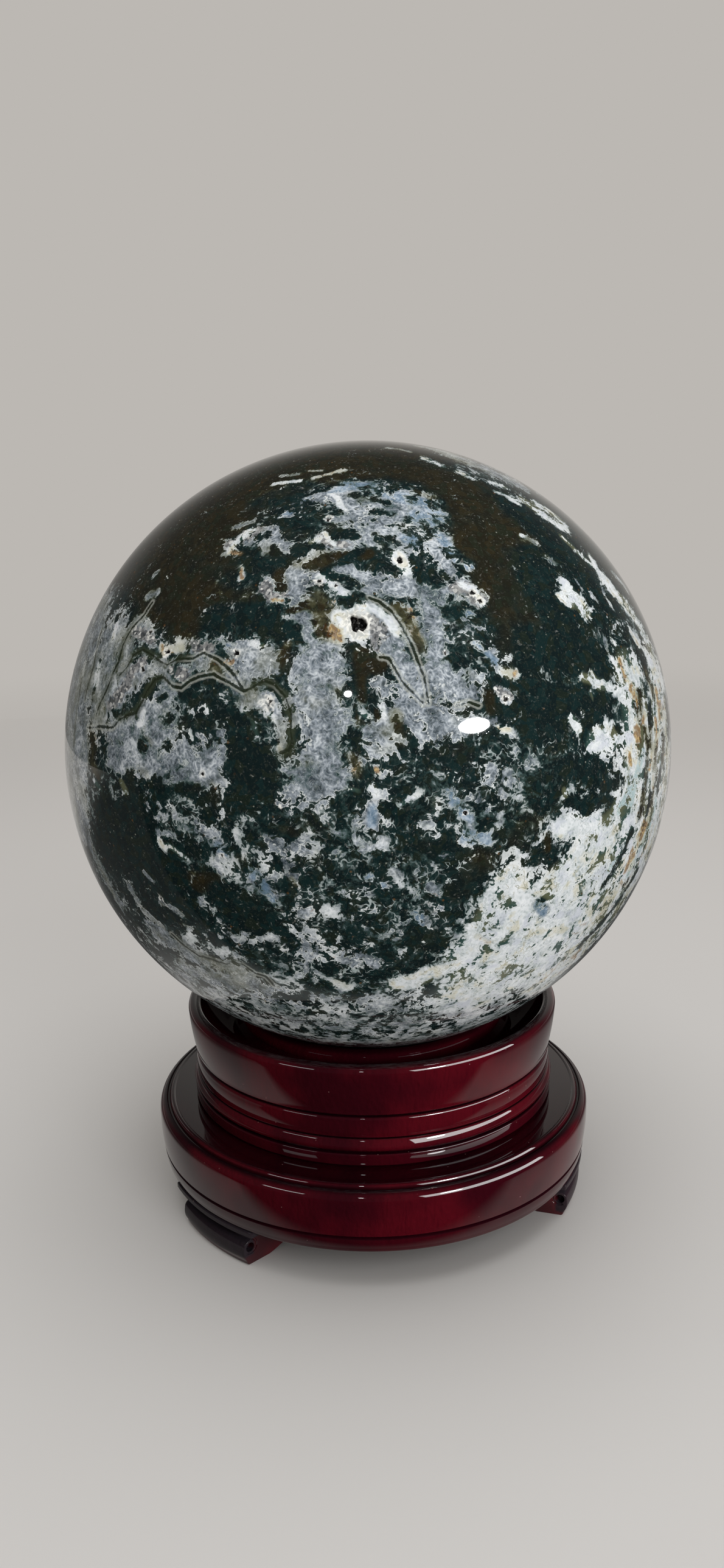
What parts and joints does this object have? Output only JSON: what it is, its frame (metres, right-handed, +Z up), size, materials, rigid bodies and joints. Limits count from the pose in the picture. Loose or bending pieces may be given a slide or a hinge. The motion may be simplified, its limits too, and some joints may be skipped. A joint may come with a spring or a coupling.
{
  "type": "crystal ball",
  "caption": "Polished stone ball resting loose in the moulded drum of a swivel stand, whose ring bearing sits in a round base on carved bracket feet.",
  "frame": {"origin": "on the shelf, under the centre of the ball", "axes": "+Z up along the swivel's axis, -Y towards the side that is seen from the front"},
  "size_m": [0.26, 0.2598, 0.3319],
  "materials": {
    "moss_agate": "polished",
    "lacquered_wood": "high gloss lacquer",
    "race_alloy": "machined",
    "steel": "bright",
    "cage_nylon": "matte"
  },
  "bodies": {
    "base": {"base_disc": "lacquered_wood", "foot_front_left": "lacquered_wood", "foot_front_right": "lacquered_wood", "foot_back": "lacquered_wood", "foot_screws": "steel", "lower_race": "race_alloy", "lower_race_screws": "steel"},
    "drum": {"drum": "lacquered_wood", "upper_race": "race_alloy", "upper_race_screws": "steel"},
    "ball_train": {"race_balls": "steel", "ball_cage": "cage_nylon"},
    "ball": {"stone_ball": "moss_agate"}
  },
  "joints": [
    {"name": "swivel", "type": "hinge", "parent": "base", "child": "drum", "pos_m": [0, 0, 0.04155], "axis": [0, 0, 1], "continuous": true},
    {"name": "train_spin", "type": "hinge", "parent": "base", "child": "ball_train", "pos_m": [0, 0, 0.04155], "axis": [0, 0, 1], "continuous": true},
    {"name": "ball_lift", "type": "slide", "parent": "drum", "child": "ball", "axis": [0, 0, 1], "range_m": [0, 0.08]}
  ],
  "couplings": [
    {"joint": "train_spin", "follows": "swivel", "ratio": 0.4759}
  ]
}
